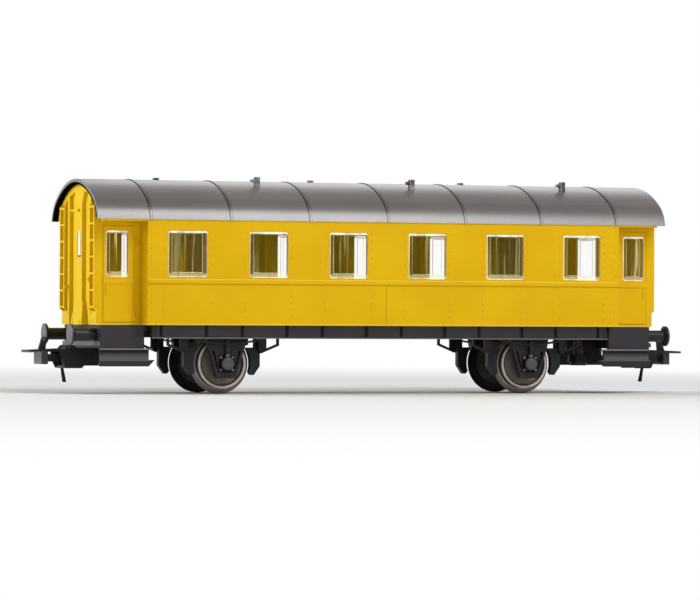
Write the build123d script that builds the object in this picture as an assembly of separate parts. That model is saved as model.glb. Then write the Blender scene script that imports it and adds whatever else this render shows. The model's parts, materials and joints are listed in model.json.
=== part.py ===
"""Two-axle passenger coach as a 1:87 model for 16.5 mm track, in millimetres.

+X runs along the coach towards end b, +Y is its left side and +Z is up.
The origin lies under the middle of the coach, at the bottom of the wheel flanges.
End b is drawn once and turned half round about Z for end a; the left side is mirrored for the right.
"""

import os
from math import acos, atan2, cos, radians, sin, sqrt

from build123d import *

# Wheelsets
tread_radius = 5.5
tread_drop = 0.1
flange_height = 1.1
flange_width = 0.85
flange_chamfer = 0.25
wheel_width = 2.8
back_to_back = 14.4
tyre_depth = 0.85
disc_recess = 0.7
disc_thickness = 1.3
hub_radius = 1.9
hub_taper = 0.3
axle_radius = 1.0
journal_radius = 0.75
journal_depth = 0.8
half_wheelbase = 35.25
running_gap = 0.07
wheel_clearance = 0.45

# Body walls
side_half_width = 18.0
side_half_length = 54.5
wall = 1.3
body_height = 22.5
sill_round = 0.25
vestibule_inset = 4.6
vestibule_lean = 0.4
vestibule_length = 9.25
end_wall = 1.1
cornice = 0.4
belt_drop = 0.3
belt_height = 1.1
belt_proud = 0.18
joint_strip_width = 0.8
joint_strip_proud = 0.12

# Windows
window_count = 6
window_end_margin = 4.5
window_width = 8.8
window_height = 10.0
window_drop = 2.3
window_corner = 0.45
door_window_width = 5.05
door_window_offset = 5.5
end_window_width = 2.9
end_window_height = 5.8
pane_gap = 0.06
pane_recess = 0.25
glazing = 1.0
glazing_lap = 1.2

# Vestibule doors
door_inner_margin = 1.4
door_outer_margin = 0.65
door_sill = 0.65
door_head = 1.35
door_proud = 0.12
door_corner = 0.5
hinge_radius = 0.3
hinge_length = 1.3
hinge_low_margin = 0.2
hinge_high_margin = 2.9
handle_length = 2.2
handle_drop = 0.25
handle_radius = 0.22

# End walls
rim_width = 1.3
rim_proud = 0.7
post_gap = 0.7
post_width = 1.3
post_proud = 0.8
post_rise = 5.2
ladder_width = 3.8
ladder_rail = 0.6
ladder_proud = 1.4
ladder_rise = 3.6
ladder_foot = 2.95
rung_count = 7
rung_margin = 0.7
rung_height = 0.4
rung_depth = 0.55
foot_flare = 2.1
end_door_half_width = 2.2
end_door_rise = 3.65
end_door_flare = 2.0
centre_foot_height = 5.05
centre_foot_lip = 0.8
centre_foot_half_width = 2.85
centre_foot_flare = 1.5
foot_slit = 0.35
foot_slit_height = 1.2
bar_start = 0.6
bar_length = 6.0
bar_rise = 2.0
bar_proud = 1.3
lamp_iron_height = 8.35
lamp_iron_reach = 1.0
lamp_iron_radius = 0.3

# Roof: a crown arc between two shoulder arcs
eave_overhang = 0.25
roof_overhang = 1.9
roof_rise = 8.95
roof_thickness = 1.1
shoulder_radius = 7.75
eave_lean = 14.8
seam_end_margin = 11.83
seam_count = 7
seam_width = 0.5
seam_proud = 0.14
roof_seat = 0.05
vent_y = 8.2
vent_height = 2.0
hood_length = 1.05
hood_width = 1.3
hood_groove = 0.22
hood_groove_height = 1.1
hood_groove_start = 0.6
nozzle_length = 1.0
nozzle_radius = 0.55
nozzle_mouth_radius = 0.22
nozzle_height = 1.2

# Underframe
floor_thickness = 1.2
floor_inset = 3.4
solebar_web = 0.8
solebar_depth = 2.85
solebar_flange = 0.45
solebar_flange_height = 0.35
solebar_end_gap = 1.7
solebar_rib_margin = 0.685
solebar_rib_width = 0.4
beam_overhang = 0.5
beam_depth = 5.0
beam_thickness = 1.2
beam_lip_drop = 3.6
beam_lip_height = 0.95
beam_lip_proud = 0.5
ballast_end_gap = 8.5
ballast_side_gap = 4.1
ballast_thickness = 1.5
partition_thickness = 1.0
partition_gap = 0.15

# Entrance steps
skirt = 1.2
skirt_lap = 0.5
ledge_lap = 2.2
ledge_height = 0.35
ledge_proud = 0.4
riser_lap = 1.6
riser_height = 2.1
riser_inset = 0.25
tread_lap = 2.65
tread_height = 1.4
tread_proud = 0.8
tread_slope = 0.6
tread_end_slope = 1.2

# Axle guards
guard_gap = 1.6
guard_thickness = 1.6
guard_top_width = 9.4
guard_neck_width = 8.4
guard_neck_drop = 3.25
guard_foot_width = 4.2
guard_foot_drop = 3.15
guard_leg = 0.6
guard_slit = 0.5
slit_start = 0.15
slit_end = 0.7
box_size = 3.4
box_recess = 0.4
box_cap_radius = 1.5
box_cap_length = 1.3
bolt_radius = 0.3
bolt_inset = 0.35
bolt_proud = 0.25
spring_span = 14.8
spring_camber = 0.9
spring_thickness = 0.4
spring_width = 0.9
spring_drop = 1.65
spring_hanger = 0.7
buckle_width = 0.8

# Brake gear
shoe_gap = 1.0
shoe_thickness = 2.15
shoe_high_angle = 32.0
shoe_low_angle = 17.0
shoe_width = 1.6
shoe_flange_gap = 0.25
shoe_tail_drop = 2.5
shoe_heel = 0.5
shoe_toe = 1.35
shoe_toe_height = 1.9
hanger_thickness = 0.8
hanger_width = 1.25
bracket_bar = 0.5
bracket_width = 0.7
bracket_gap = 0.6
bracket_start = 2.5
bracket_leg = 1.8
bracket_apex = 3.1
bracket_end = 6.95
bracket_apex_drop = 4.6
bracket_end_drop = 3.0

# Buffers
buffer_y = 10.1
buffer_drop = 2.05
buffer_length = 5.8
buffer_head_radius = 2.25
buffer_rim = 0.5
buffer_dome = 0.6
buffer_shank_radius = 1.3

# Couplings
pivot_setback = 11.25
pivot_radius = 1.0
pivot_head_radius = 1.9
pivot_head_height = 0.8
drawbar_clearance = 0.5
drawbar_eye_radius = 2.3
drawbar_thickness = 1.4
drawbar_width = 2.6
pocket_setback = 3.0
pocket_reach = 2.15
pocket_height = 3.35
pocket_half_width = 2.3
shank_setback = 2.35
shank_half_width = 1.55
shank_height = 1.6
shank_gap = 0.05
collar_gap = 0.1
collar_length = 1.6
collar_half_width = 2.1
plate_reach = 8.45
plate_thickness = 1.5
plate_half_width = 3.0
plate_height = 2.7
horn_height = 3.2
horn_thickness = 1.0
horn_base = 1.6
horn_tip_radius = 0.55
horn_setback = 1.35
horn_hole_radius = 0.25
trunnion_reach = 3.35
trunnion_height = 1.8
trunnion_radius = 0.5
trunnion_boss_radius = 1.0
lug_half_width = 2.2
loop_half_width = 4.2
loop_bar = 0.8
loop_thickness = 0.5
loop_reach = 12.75
loop_front_drop = 0.4
loop_corner = 1.4
loop_eye_radius = 0.95
crossbar_offset = 1.2
crossbar_width = 0.6
crossbar_drop = 3.4
cheek_nose = 1.15
cheek_bow = 0.3
cheek_tail = 2.8
cheek_tail_drop = 1.2
cheek_heel = 0.7
trip_pin_length = 3.35
trip_pin_radius = 0.45
trip_pin_top_radius = 0.33
trip_pin_lean = 0.6

# Heights that follow from the sizes above
axle_z = tread_radius + flange_height
floor_bottom_z = axle_z + tread_radius + flange_height + wheel_clearance
floor_top_z = floor_bottom_z + floor_thickness
eave_z = floor_top_z + body_height
roof_top_z = eave_z + roof_rise
window_top_z = eave_z - window_drop
window_sill_z = window_top_z - window_height
belt_z = window_sill_z - belt_drop - belt_height
end_sill_z = window_top_z - end_window_height
ladder_z = (floor_top_z + ladder_foot, eave_z + ladder_rise)
solebar_bottom_z = floor_top_z - solebar_depth
beam_bottom_z = floor_top_z - beam_depth
ledge_z = beam_bottom_z - ledge_height
riser_bottom_z = ledge_z - riser_height
tread_bottom_z = riser_bottom_z - tread_height
spring_z = floor_bottom_z - spring_drop
buffer_z = floor_top_z - buffer_drop
coupling_z = beam_bottom_z - drawbar_clearance - pocket_height / 2
plate_top_z = coupling_z + plate_height / 2
trunnion_z = coupling_z + trunnion_height
loop_front_z = trunnion_z - loop_front_drop
crossbar_z = trunnion_z - crossbar_drop

# Widths, from the middle of the coach
wheel_back_y = back_to_back / 2
wheel_face_y = wheel_back_y + wheel_width
side_inner_y = side_half_width - wall
vestibule_half_width = side_half_width - vestibule_inset
vestibule_inner_y = vestibule_half_width - wall
ladder_inner_y = vestibule_half_width - ladder_width
post_inner_y = ladder_inner_y - post_gap - post_width
roof_half_width = side_half_width + eave_overhang
floor_half_width = side_half_width - floor_inset
solebar_y = floor_half_width + solebar_web
beam_half_width = vestibule_half_width + beam_overhang
skirt_y = beam_half_width - skirt
guard_inner_y = wheel_face_y + guard_gap
guard_y = guard_inner_y + guard_thickness
journal_end_y = guard_inner_y + journal_depth
box_floor_y = guard_y - box_recess
shoe_y = wheel_back_y + flange_width + shoe_flange_gap
bracket_y = wheel_face_y + bracket_gap

# Lengths, from the middle of the coach
end_face_x = side_half_length + vestibule_length
end_inner_x = end_face_x - end_wall
roof_half_length = end_face_x + roof_overhang
seam_pitch = 2 * (roof_half_length - seam_end_margin) / (seam_count - 1)
return_x = side_half_length + vestibule_lean
window_pitch = (2 * (side_half_length - window_end_margin) - window_width) / (window_count - 1)
door_window_x = side_half_length + door_window_offset
door_x = (return_x + door_inner_margin, end_face_x - door_outer_margin)
post_face_x = end_face_x + post_proud
ladder_face_x = end_face_x + ladder_proud
solebar_half_length = side_half_length - solebar_end_gap
beam_inner_x = end_face_x - beam_thickness
buffer_face_x = end_face_x + buffer_length
pivot_x = end_face_x - pivot_setback
pocket_x = (end_face_x - pocket_setback, end_face_x + pocket_reach)
shank_x = end_face_x - shank_setback
trunnion_x = end_face_x + trunnion_reach
crossbar_x = trunnion_x + crossbar_offset
plate_x = (end_face_x + plate_reach, end_face_x + plate_reach + plate_thickness)
loop_front_x = end_face_x + loop_reach
partition_x = (window_count / 2 - 1) * window_pitch

tyre_bore = tread_radius - tyre_depth
turned = Rot(0, 0, 180)


def block(x, y, z):
    """Box that spans the pairs x, y and z."""
    centre = Pos(sum(x) / 2, sum(y) / 2, sum(z) / 2)
    return centre * Box(x[1] - x[0], y[1] - y[0], z[1] - z[0])


def plate_xz(sketch, y):
    """Sketch drawn in X and Z, as a plate that spans the pair y."""
    return extrude(Plane.XZ.offset(-y[1]) * sketch, y[1] - y[0])


def plate_yz(sketch, x):
    """Sketch drawn in Y and Z, as a plate that spans the pair x."""
    return extrude(Plane.YZ.offset(x[0]) * sketch, x[1] - x[0])


def plate_xy(sketch, z):
    """Sketch drawn in X and Y, as a plate that spans the pair z."""
    return extrude(Plane.XY.offset(z[0]) * sketch, z[1] - z[0])


def outline(*points):
    """Face inside straight lines through the points."""
    return make_face(Polyline(*points, close=True))


def rounded(x, z, corner):
    """Rectangle that spans the pairs x and z, with round corners."""
    return Pos(sum(x) / 2, sum(z) / 2) * RectangleRounded(x[1] - x[0], z[1] - z[0], corner)


def rod_y(radius, x, z, y):
    """Round bar along Y that spans the pair y."""
    return Pos(x, sum(y) / 2, z) * Rot(90, 0, 0) * Cylinder(radius, y[1] - y[0])


def rod_z(radius, x, y, z):
    """Round bar along Z that spans the pair z."""
    return Pos(x, y, sum(z) / 2) * Cylinder(radius, z[1] - z[0])


def right_of(piece):
    """The same piece on the right side."""
    return mirror(piece, about=Plane.XZ)


def span(middle, width):
    """Pair that lies half the width to each side of the middle."""
    return (middle - width / 2, middle + width / 2)


def about(half):
    """Pair that lies the same way to each side of the middle of the coach."""
    return (-half, half)


def window_centres():
    """Middle of each side window along the coach."""
    first = -(window_count - 1) / 2
    return [(first + i) * window_pitch for i in range(window_count)]


# Roof
def crown_radius():
    """Radius of the crown arc that is tangent to both shoulder arcs and reaches the roof's top."""
    shoulder_y, below_top = shoulder_centre()[0], shoulder_centre()[1] - roof_top_z
    return (shoulder_radius**2 - shoulder_y**2 - below_top**2) / (2 * (below_top + shoulder_radius))


def shoulder_centre():
    """Y and Z of the middle of the left shoulder arc, which leans in at the eave."""
    lean = radians(eave_lean)
    return roof_half_width - shoulder_radius * cos(lean), eave_z - shoulder_radius * sin(lean)


def arch(inset):
    """Face under the roof's arch in Y and Z, moved in by inset and closed by a line at the eave."""
    middle_y, middle_z = shoulder_centre()
    crown_z = roof_top_z - crown_radius()
    radius = shoulder_radius - inset
    start = atan2(middle_y, middle_z - crown_z)
    foot = acos((eave_z - middle_z) / radius)

    def on_shoulder(angle, side):
        return (side * (middle_y + radius * sin(angle)), middle_z + radius * cos(angle))

    top = ThreePointArc(on_shoulder(start, -1), (0, roof_top_z - inset), on_shoulder(start, 1))
    sides = [
        ThreePointArc(on_shoulder(start, s), on_shoulder((start + foot) / 2, s), on_shoulder(foot, s))
        for s in (-1, 1)
    ]
    base = Line(on_shoulder(foot, -1), on_shoulder(foot, 1))
    return make_face([top, *sides, base])


def roof():
    """Arched shell with a raised cover strip over each sheet joint."""
    shell = plate_yz(arch(0), about(roof_half_length))
    for i in range(seam_count):
        seam_x = (i - (seam_count - 1) / 2) * seam_pitch
        shell += plate_yz(arch(-seam_proud), span(seam_x, seam_width))
    return shell - plate_yz(arch(roof_thickness), about(roof_half_length))


def roof_vents():
    """Ventilators that alternate between the two sides, one to a roof sheet."""
    under = plate_yz(arch(0), about(roof_half_length))
    crown = crown_radius()
    base_z = roof_top_z - crown + sqrt(crown**2 - vent_y**2)
    hood = block(span(0, hood_length), span(0, hood_width), (-hood_width / 2, vent_height))
    groove_z = (hood_groove_start, hood_groove_start + hood_groove_height)
    for groove_x in (-hood_length / 4, hood_length / 4):
        for groove_y in (-hood_width / 2, hood_width / 2):
            hood -= block(span(groove_x, hood_groove), span(groove_y, hood_groove), groove_z)
    nozzle = Rot(0, -90, 0) * Cone(nozzle_radius, nozzle_mouth_radius, nozzle_length)
    vent = hood + Pos(-(hood_length + nozzle_length) / 2, 0, nozzle_height) * nozzle
    on_right = [Pos(x * seam_pitch, -vent_y, base_z) * vent - under for x in (-1.5, 0.5, 2.5)]
    return [*on_right, *(turned * v for v in on_right)]


# Body walls
def side_wall():
    """Left side with its windows, the belt rail and the strip over the sheet joint."""
    length = about(side_half_length)
    sheet = block(length, (side_inner_y, side_half_width), (floor_top_z, eave_z))
    sheet = fillet(sheet.edges().filter_by(Axis.X).group_by(Axis.Z)[0].sort_by(Axis.Y)[-1], sill_round)
    belt = (side_inner_y, side_half_width + belt_proud)
    sheet += block(length, belt, (belt_z, belt_z + belt_height))
    strip = (side_inner_y, side_half_width + joint_strip_proud)
    sheet += block(span(0, joint_strip_width), strip, (floor_top_z + sill_round, belt_z))
    for x in window_centres():
        opening = rounded(span(x, window_width), (window_sill_z, window_top_z), window_corner)
        sheet -= plate_xz(opening, (side_inner_y - wall, side_half_width + wall))
    return sheet


def vestibule_wall():
    """Drawn-in wall beside the left door at end b, with the door on it and the cornice over it."""
    inner = side_half_length - wall
    face = vestibule_half_width
    plan = outline(
        (inner, side_inner_y),
        (side_half_length, side_inner_y),
        (return_x, face),
        (end_face_x, face),
        (end_face_x, vestibule_inner_y),
        (inner + vestibule_lean, vestibule_inner_y),
    )
    panel = plate_xy(plan, (floor_top_z, eave_z))
    shelf = (eave_z - cornice, eave_z)
    panel += block((side_half_length, end_face_x), (vestibule_inner_y, side_half_width), shelf)
    door_z = (floor_top_z + door_sill, eave_z - door_head)
    leaf = rounded(door_x, door_z, door_corner)
    door_face = face + door_proud
    panel += plate_xz(leaf, (face - wall / 2, door_face))
    panel += block(door_x, (face - wall / 2, door_face + belt_proud), (belt_z, belt_z + belt_height))
    opening = rounded(span(door_window_x, door_window_width), (window_sill_z, window_top_z), window_corner)
    panel -= plate_xz(opening, (face - 2 * wall, face + wall))
    for z in (door_z[0] + hinge_low_margin, door_z[1] - hinge_high_margin - hinge_length):
        panel += rod_z(hinge_radius, door_x[0], door_face, (z, z + hinge_length))
    handle_top = belt_z - handle_drop
    handle_x = door_x[1] - 3 * handle_radius
    return panel + rod_z(handle_radius, handle_x, door_face, (handle_top - handle_length, handle_top))


# End walls
def end_ladder():
    """Ladder and foot plate on the left half of end b: rails with sloped ends and a row of rungs."""
    low, high = ladder_inner_y, vestibule_half_width
    bottom, top = ladder_z
    slope = ladder_proud - post_proud
    side = outline(
        (end_face_x, bottom),
        (post_face_x, bottom),
        (ladder_face_x, bottom + slope),
        (ladder_face_x, top - slope),
        (post_face_x, top),
        (end_face_x, top),
    )
    ladder = plate_xz(side, (low, low + ladder_rail)) + plate_xz(side, (high - ladder_rail, high))
    first = bottom + rung_margin
    pitch = (top - rung_margin - rung_height - first) / (rung_count - 1)
    for i in range(rung_count):
        z = first + i * pitch
        ladder += block((ladder_face_x - rung_depth, ladder_face_x), (low, high), (z, z + rung_height))
    foot = outline((low - foot_flare, floor_top_z), (high, floor_top_z), (high, bottom), (low, bottom))
    return ladder + plate_yz(foot, (end_face_x, post_face_x))


def centre_foot():
    """Foot plate under the end door at end b, wider and thicker at the bottom, with two slits."""
    top_z = floor_top_z + centre_foot_height
    half, wide = centre_foot_half_width, centre_foot_half_width + centre_foot_flare
    rear = end_face_x - end_wall / 2
    front = outline((-wide, floor_top_z), (wide, floor_top_z), (half, top_z), (-half, top_z))
    side = outline(
        (rear, floor_top_z),
        (ladder_face_x, floor_top_z),
        (ladder_face_x, floor_top_z + centre_foot_lip),
        (post_face_x, top_z),
        (rear, top_z),
    )
    foot = plate_yz(front, (rear, ladder_face_x)) & plate_xz(side, about(wide))
    for y in (-half, half):
        slit = (floor_top_z, floor_top_z + foot_slit_height)
        foot -= block((post_face_x, ladder_face_x), span(y, foot_slit), slit)
    return foot


def end_wall_panel():
    """End b: arched panel with a rim, end door, posts, ladders, foot plates and a lamp iron."""
    thick = (end_inner_x, end_face_x)
    rear = end_face_x - end_wall / 2
    under_roof = roof_thickness + roof_seat
    panel = block(thick, about(vestibule_inner_y - pane_gap), (floor_top_z, eave_z))
    panel += plate_yz(arch(under_roof), thick)
    panel += plate_yz(arch(under_roof) - arch(under_roof + rim_width), (rear, end_face_x + rim_proud))
    half, wide = end_door_half_width, end_door_half_width + end_door_flare
    neck_z, head_z = eave_z + end_door_rise, roof_top_z - under_roof - rim_width / 2
    leaf = outline(
        (-half, floor_top_z),
        (half, floor_top_z),
        (half, neck_z),
        (wide, head_z),
        (-wide, head_z),
        (-half, neck_z),
    )
    panel += plate_yz(leaf, (rear, post_face_x))
    post = block((rear, post_face_x), span(post_inner_y + post_width / 2, post_width),
                 (floor_top_z, eave_z + post_rise))
    ladder = end_ladder()
    for piece in (post, ladder, right_of(post), right_of(ladder), centre_foot()):
        panel += piece
    bar_z = (eave_z + bar_rise, eave_z + bar_rise + rung_height)
    bar_y = (bar_start - bar_length, bar_start)
    panel += block((rear, end_face_x + bar_proud), bar_y, bar_z)
    opening = rounded(span(0, end_window_width), (end_sill_z, window_top_z), window_corner)
    panel -= plate_yz(opening, (end_inner_x - wall, ladder_face_x + wall))
    hook_z = floor_top_z + lamp_iron_height - lamp_iron_reach
    hook = Pos(post_face_x, -post_inner_y - post_width / 2, hook_z) * Rot(90, 0, 0)
    path = hook * CenterArc((0, 0), lamp_iron_reach, -30, 120)
    return panel + sweep((path ^ 0) * Circle(lamp_iron_radius), path)


# Glazing: clear strips inside the walls with a pane that fills each window
def pane(middle, width, sill_z):
    """Face of the pane in a window that reaches from the sill to the window top."""
    height = (sill_z + pane_gap, window_top_z - pane_gap)
    return rounded(span(middle, width - 2 * pane_gap), height, window_corner)


def side_glazing():
    """Clear strip behind the left side with one raised pane for each window."""
    reach = window_centres()[-1] + window_width / 2 + glazing_lap
    inside = side_inner_y - pane_gap
    strip_z = (window_sill_z - glazing_lap, window_top_z + glazing_lap)
    strip = block(about(reach), (inside - glazing, inside), strip_z)
    for x in window_centres():
        strip += plate_xz(pane(x, window_width, window_sill_z), (inside, side_half_width - pane_recess))
    return strip


def vestibule_glazing():
    """Door panes on both sides of end b and the pane of the end window."""
    inside = vestibule_inner_y - pane_gap
    rear = end_inner_x - pane_gap
    lap_z = (window_sill_z - glazing_lap, window_top_z + glazing_lap)
    back_x = (door_window_x - door_window_width / 2 - glazing_lap, rear)
    door_pane = block(back_x, (inside - glazing, inside), lap_z)
    door_face = vestibule_half_width + door_proud - pane_recess
    door_pane += plate_xz(pane(door_window_x, door_window_width, window_sill_z), (inside, door_face))
    end_z = (end_sill_z - glazing_lap, window_top_z + glazing_lap)
    end_pane = block((rear - glazing, rear), span(0, end_window_width + 2 * glazing_lap), end_z)
    end_pane += plate_yz(pane(0, end_window_width, end_sill_z), (rear, post_face_x - pane_recess))
    return [door_pane, right_of(door_pane), end_pane]


# Underframe
def floor_plate():
    """Floor that carries the body, narrower between the entrance steps."""
    z = (floor_bottom_z, floor_top_z)
    middle = block(about(solebar_half_length), about(floor_half_width), z)
    return middle + block(about(beam_inner_x), about(skirt_y), z)


def ballast_plate():
    """Steel weight on the floor."""
    length, width = about(side_half_length - ballast_end_gap), about(side_inner_y - ballast_side_gap)
    return block(length, width, (floor_top_z, floor_top_z + ballast_thickness))


def partition():
    """Cross wall of the saloon at end b, on the ballast plate and between the last two windows."""
    width = about(side_inner_y - pane_gap - glazing - partition_gap)
    return block(span(partition_x, partition_thickness), width, (floor_top_z + ballast_thickness, eave_z))


def solebar():
    """Left channel bar under the body side, with a stiffening rib at each window post."""
    length = about(solebar_half_length)
    z = (solebar_bottom_z, floor_top_z)
    lip = (floor_half_width, solebar_y + solebar_flange)
    bar = block(length, (floor_half_width, solebar_y), z)
    bar += block(length, lip, (solebar_bottom_z, solebar_bottom_z + solebar_flange_height))
    for x in window_centres():
        for side in (-1, 1):
            rib_x = x + side * (window_width / 2 + solebar_rib_margin)
            bar += block(span(rib_x, solebar_rib_width), lip, z)
    return bar


def buffer_beam():
    """Beam across end b, with a lip along its lower part."""
    beam = block((beam_inner_x, end_face_x), about(beam_half_width), (beam_bottom_z, floor_top_z))
    lip_top = floor_top_z - beam_lip_drop
    lip_x = (beam_inner_x, end_face_x + beam_lip_proud)
    return beam + block(lip_x, about(beam_half_width), (lip_top - beam_lip_height, lip_top))


def entrance_step():
    """Skirt, ledge and step board under the left door at end b."""
    skirt_x = (side_half_length - skirt_lap, beam_inner_x)
    step = block(skirt_x, (skirt_y, beam_half_width), (beam_bottom_z, floor_top_z))
    ledge_x = (side_half_length - ledge_lap, end_face_x)
    step += block(ledge_x, (skirt_y, beam_half_width + ledge_proud), (ledge_z, beam_bottom_z))
    riser_x = (side_half_length - riser_lap, end_face_x)
    step += block(riser_x, (skirt_y, beam_half_width - riser_inset), (riser_bottom_z, ledge_z))
    tread_x = side_half_length - tread_lap
    front_y = beam_half_width + tread_proud
    section = outline(
        (skirt_y, riser_bottom_z),
        (front_y, riser_bottom_z),
        (front_y - tread_slope, tread_bottom_z),
        (skirt_y, tread_bottom_z),
    )
    end_cut = outline(
        (tread_x, riser_bottom_z),
        (tread_x, tread_bottom_z),
        (tread_x + tread_end_slope, tread_bottom_z),
    )
    tread = plate_yz(section, (tread_x, end_face_x))
    return step + (tread - plate_xz(end_cut, (skirt_y - skirt, front_y + skirt)))


def axle_guard():
    """Left guard at the middle of the coach: slit plate, axlebox in a recess, leaf spring and buckle."""
    top, neck, foot = guard_top_width / 2, guard_neck_width / 2, guard_foot_width / 2
    neck_z, foot_z = floor_bottom_z - guard_neck_drop, axle_z - guard_foot_drop
    plate = outline(
        (-top, floor_bottom_z),
        (top, floor_bottom_z),
        (neck, neck_z),
        (foot, foot_z),
        (-foot, foot_z),
        (-neck, neck_z),
    )
    guard = plate_xz(plate, (guard_inner_y, guard_y))

    def on_leg(part, inset):
        return (neck + (foot - neck) * part - inset, neck_z + (foot_z - neck_z) * part)

    slit = plate_xz(outline(
        on_leg(slit_start, guard_leg),
        on_leg(slit_end, guard_leg),
        on_leg(slit_end, guard_leg + guard_slit / 2),
        on_leg(slit_start, guard_leg + guard_slit),
    ), (guard_inner_y - wall, guard_y + wall))
    guard = guard - slit - mirror(slit, about=Plane.YZ)

    half = box_size / 2
    guard -= block(about(half), (box_floor_y, guard_y), (axle_z - half, axle_z + half))
    cap = rod_y(box_cap_radius, 0, axle_z, (box_floor_y, guard_y + box_cap_length))
    guard += fillet(cap.edges().sort_by(Axis.Y)[-1], box_cap_length / 2)
    bolt_at = half - bolt_inset
    for x in (-bolt_at, bolt_at):
        for z in (axle_z - bolt_at, axle_z + bolt_at):
            guard += rod_y(bolt_radius, x, z, (box_floor_y, guard_y + bolt_proud))

    spring_y = (guard_y - guard_thickness / 4, guard_y + spring_width)
    end, under = spring_span / 2, spring_z - spring_thickness
    leaf = make_face([
        ThreePointArc((-end, under), (0, under - spring_camber), (end, under)),
        Line((end, under), (end, spring_z)),
        ThreePointArc((end, spring_z), (0, spring_z - spring_camber), (-end, spring_z)),
        Line((-end, spring_z), (-end, under)),
    ])
    guard += plate_xz(leaf, spring_y)
    for side in (-1, 1):
        hanger_x = span(side * (end - spring_hanger / 2), spring_hanger)
        guard += block(hanger_x, spring_y, (under, floor_bottom_z))
    guard += block(span(0, buckle_width), (guard_y, guard_y + spring_width), (axle_z, under))
    bore = (guard_inner_y - guard_thickness, journal_end_y + running_gap)
    return guard - rod_y(journal_radius + running_gap, 0, axle_z, bore)


def brake_shoe():
    """Brake block and hanger on the +X side of a left wheel, with the axle at X 0."""
    inner = tread_radius + shoe_gap
    back = inner + shoe_thickness

    def at(angle):
        return (inner * cos(radians(angle)), axle_z + inner * sin(radians(angle)))

    heel, top = at(-shoe_low_angle), at(shoe_high_angle)
    tail_z = axle_z - shoe_tail_drop
    points = (
        top,
        (back, top[1]),
        (back, tail_z + shoe_toe_height),
        (back - shoe_toe, tail_z),
        (heel[0] + shoe_heel, tail_z),
        heel,
    )
    edges = [Line(a, b) for a, b in zip(points, points[1:])]
    shoe = make_face([ThreePointArc(heel, at(0), top), *edges])
    width = (shoe_y, shoe_y + shoe_width)
    hanger_y = span(sum(width) / 2, hanger_thickness)
    return plate_xz(shoe, width) + block((back - hanger_width, back), hanger_y, (axle_z, floor_bottom_z))


def brake_bracket():
    """Safety strap beside a left wheel, with the axle at X 0: a broad leg and a bent bar to the floor."""
    start, end_x = tread_radius + bracket_start, tread_radius + bracket_end
    apex_x, apex_z = tread_radius + bracket_apex, floor_bottom_z - bracket_apex_drop
    bend_z = floor_bottom_z - bracket_end_drop
    path = Polyline((apex_x, apex_z), (end_x, bend_z), (end_x, floor_bottom_z))
    strap = make_face(offset(path, bracket_bar / 2, kind=Kind.INTERSECTION, side=Side.BOTH))
    leg_x = start + bracket_leg
    leg = outline(
        (start, floor_bottom_z),
        (leg_x, floor_bottom_z),
        (leg_x, apex_z + (leg_x - apex_x) * (bend_z - apex_z) / (end_x - apex_x)),
        (apex_x, apex_z - bracket_bar / 2),
        (start, apex_z + apex_x - start),
    )
    width = span(bracket_y, bracket_width)
    bar = plate_xz(strap, width) + plate_xz(leg, width)
    return bar - block((0, 2 * half_wheelbase), (0, side_half_width), (floor_bottom_z, eave_z))


def around_wheels(piece):
    """The piece on both sides of both wheels of the wheelset at end b."""
    both = [piece, mirror(piece, about=Plane.YZ)]
    both += [right_of(p) for p in both]
    return [Pos(half_wheelbase, 0, 0) * p for p in both]


def buffer():
    """Left buffer at end b: shank and a round head with a flat face."""
    section = outline(
        (0, end_face_x),
        (buffer_shank_radius, end_face_x),
        (buffer_shank_radius, buffer_face_x - buffer_rim - buffer_dome),
        (buffer_head_radius, buffer_face_x - buffer_rim),
        (buffer_head_radius, buffer_face_x),
        (0, buffer_face_x),
    )
    return Pos(0, buffer_y, buffer_z) * Rot(0, 0, -90) * revolve(section, Axis.Y)


# Wheelsets, drawn about the Y axis
def tyre():
    """Steel tyre of the left wheel: coned tread and a flange with chamfered edges."""
    flange_radius = tread_radius + flange_height
    root_y = wheel_back_y + flange_width
    section = outline(
        (tyre_bore, wheel_back_y),
        (flange_radius - flange_chamfer, wheel_back_y),
        (flange_radius, wheel_back_y + flange_chamfer),
        (flange_radius, root_y - 2 * flange_chamfer),
        (tread_radius, root_y),
        (tread_radius - tread_drop, wheel_face_y),
        (tyre_bore, wheel_face_y),
    )
    return revolve(section, Axis.Y)


def wheel_disc():
    """Disc and hub inside the left tyre."""
    face = wheel_face_y - disc_recess
    rear = face - disc_thickness
    section = outline(
        (axle_radius, wheel_back_y),
        (hub_radius, wheel_back_y),
        (hub_radius, rear),
        (tyre_bore, rear),
        (tyre_bore, face),
        (hub_radius, face),
        (hub_radius - hub_taper, wheel_face_y),
        (axle_radius, wheel_face_y),
    )
    return revolve(section, Axis.Y)


def axle():
    """Axle with turned-down journals and pointed ends."""
    point_y = journal_end_y - journal_radius
    section = outline(
        (0, -journal_end_y),
        (journal_radius, -point_y),
        (journal_radius, -wheel_face_y),
        (axle_radius, -wheel_face_y),
        (axle_radius, wheel_face_y),
        (journal_radius, wheel_face_y),
        (journal_radius, point_y),
        (0, journal_end_y),
    )
    return revolve(section, Axis.Y)


# Couplings at end b
def pivot_pin():
    """Headed pin under the floor that the drawbar swings on."""
    head_z = coupling_z - drawbar_thickness / 2 - running_gap
    shaft = rod_z(pivot_radius, pivot_x, 0, (head_z, floor_bottom_z))
    return shaft + rod_z(pivot_head_radius, pivot_x, 0, (head_z - pivot_head_height, head_z))


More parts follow.
